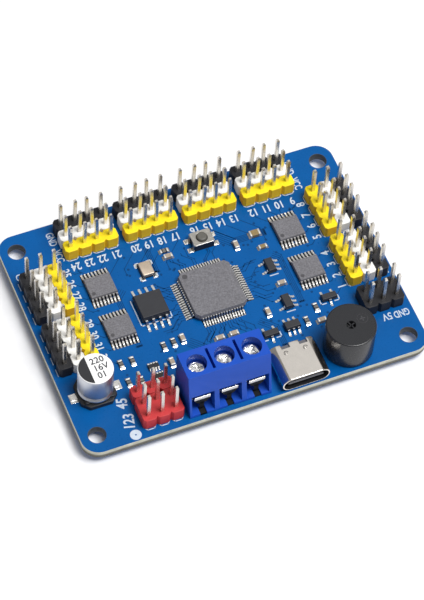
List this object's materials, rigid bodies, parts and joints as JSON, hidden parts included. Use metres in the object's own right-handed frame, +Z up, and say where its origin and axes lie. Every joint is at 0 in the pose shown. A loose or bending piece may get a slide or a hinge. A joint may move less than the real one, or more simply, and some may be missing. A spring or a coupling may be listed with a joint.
{
  "type": "servo driver board",
  "caption": "Multi-channel servo driver board with rows of three-colour pin strips, a screw terminal, a USB socket, a buzzer and a push switch.",
  "frame": {"origin": "on the floor under the middle of the board, level with the tips of the pins under it", "axes": "+X along the front edge, to the right; +Y from the front edge, where the terminal and the USB socket are, to the back; +Z up, out of the component side"},
  "size_m": [0.065, 0.0478, 0.0132],
  "materials": {
    "solder_mask": "satin",
    "yellow_nylon": "satin",
    "white_nylon": "satin",
    "black_nylon": "satin",
    "red_nylon": "satin",
    "terminal_nylon": "satin",
    "tinned_brass": "satin",
    "plated_steel": "polished",
    "nickel": "brushed",
    "can_aluminium": "satin",
    "dark_moulding": "matte",
    "button_nylon": "matte",
    "chip_epoxy": "matte",
    "black_epoxy": "matte"
  },
  "bodies": {
    "board": {"back_strip_1_ground": "black_nylon", "back_strip_1_power": "white_nylon", "back_strip_1_signal": "yellow_nylon", "back_strip_2_ground": "black_nylon", "back_strip_2_power": "white_nylon", "back_strip_2_signal": "yellow_nylon", "back_strip_3_ground": "black_nylon", "back_strip_3_power": "white_nylon", "back_strip_3_signal": "yellow_nylon", "back_strip_4_ground": "black_nylon", "back_strip_4_power": "white_nylon", "back_strip_4_signal": "yellow_nylon", "buzzer": "dark_moulding", "capacitor_base": "black_nylon", "capacitor_can": "can_aluminium", "circuit_board": "solder_mask", "crystal_base": "black_epoxy", "crystal_lid": "nickel", "driver_1": "chip_epoxy", "driver_2": "chip_epoxy", "driver_3": "chip_epoxy", "driver_4": "chip_epoxy", "left_strip_1_ground": "black_nylon", "left_strip_1_power": "white_nylon", "left_strip_1_signal": "yellow_nylon", "left_strip_2_ground": "black_nylon", "left_strip_2_power": "white_nylon", "left_strip_2_signal": "yellow_nylon", "link_header_back": "red_nylon", "link_header_front": "red_nylon", "memory": "black_epoxy", "power_header": "black_nylon", "processor": "chip_epoxy", "regulator_1": "black_epoxy", "regulator_2": "black_epoxy", "right_strip_1_ground": "black_nylon", "right_strip_1_power": "white_nylon", "right_strip_1_signal": "yellow_nylon", "right_strip_2_ground": "black_nylon", "right_strip_2_power": "white_nylon", "right_strip_2_signal": "yellow_nylon", "switch_base": "black_nylon", "switch_cover": "nickel", "terminal_contact_1": "tinned_brass", "terminal_contact_2": "tinned_brass", "terminal_contact_3": "tinned_brass", "terminal_housing": "terminal_nylon", "transistor_1": "black_epoxy", "transistor_2": "black_epoxy", "usb_guard": "black_epoxy", "usb_shell": "nickel", "usb_tongue": "black_nylon"},
    "clamp_1": {"terminal_clamp_1": "plated_steel"},
    "screw_1": {"terminal_screw_1": "plated_steel"},
    "clamp_2": {"terminal_clamp_2": "plated_steel"},
    "screw_2": {"terminal_screw_2": "plated_steel"},
    "clamp_3": {"terminal_clamp_3": "plated_steel"},
    "screw_3": {"terminal_screw_3": "plated_steel"},
    "button": {"switch_button": "button_nylon"}
  },
  "joints": [
    {"name": "clamp_1_slide", "type": "slide", "parent": "board", "child": "clamp_1", "axis": [0, 0, -1], "range_m": [0, 0.00119]},
    {"name": "screw_1_turn", "type": "hinge", "parent": "clamp_1", "child": "screw_1", "pos_m": [-0.01068, -0.0185, 0.009], "axis": [0, 0, -1], "range_deg": [0, 960]},
    {"name": "clamp_2_slide", "type": "slide", "parent": "board", "child": "clamp_2", "axis": [0, 0, -1], "range_m": [0, 0.00119]},
    {"name": "screw_2_turn", "type": "hinge", "parent": "clamp_2", "child": "screw_2", "pos_m": [-0.0056, -0.0185, 0.009], "axis": [0, 0, -1], "range_deg": [0, 960]},
    {"name": "clamp_3_slide", "type": "slide", "parent": "board", "child": "clamp_3", "axis": [0, 0, -1], "range_m": [0, 0.00119]},
    {"name": "screw_3_turn", "type": "hinge", "parent": "clamp_3", "child": "screw_3", "pos_m": [-0.00052, -0.0185, 0.009], "axis": [0, 0, -1], "range_deg": [0, 960]},
    {"name": "button_press", "type": "slide", "parent": "board", "child": "button", "axis": [0, 0, -1], "range_m": [0, 0.00025], "stiffness_N_per_m": 3000, "springref_m": -0.00025}
  ],
  "couplings": [
    {"joint": "screw_1_turn", "follows": "clamp_1_slide", "rad_per_m": 13963},
    {"joint": "screw_2_turn", "follows": "clamp_2_slide", "rad_per_m": 13963},
    {"joint": "screw_3_turn", "follows": "clamp_3_slide", "rad_per_m": 13963}
  ]
}
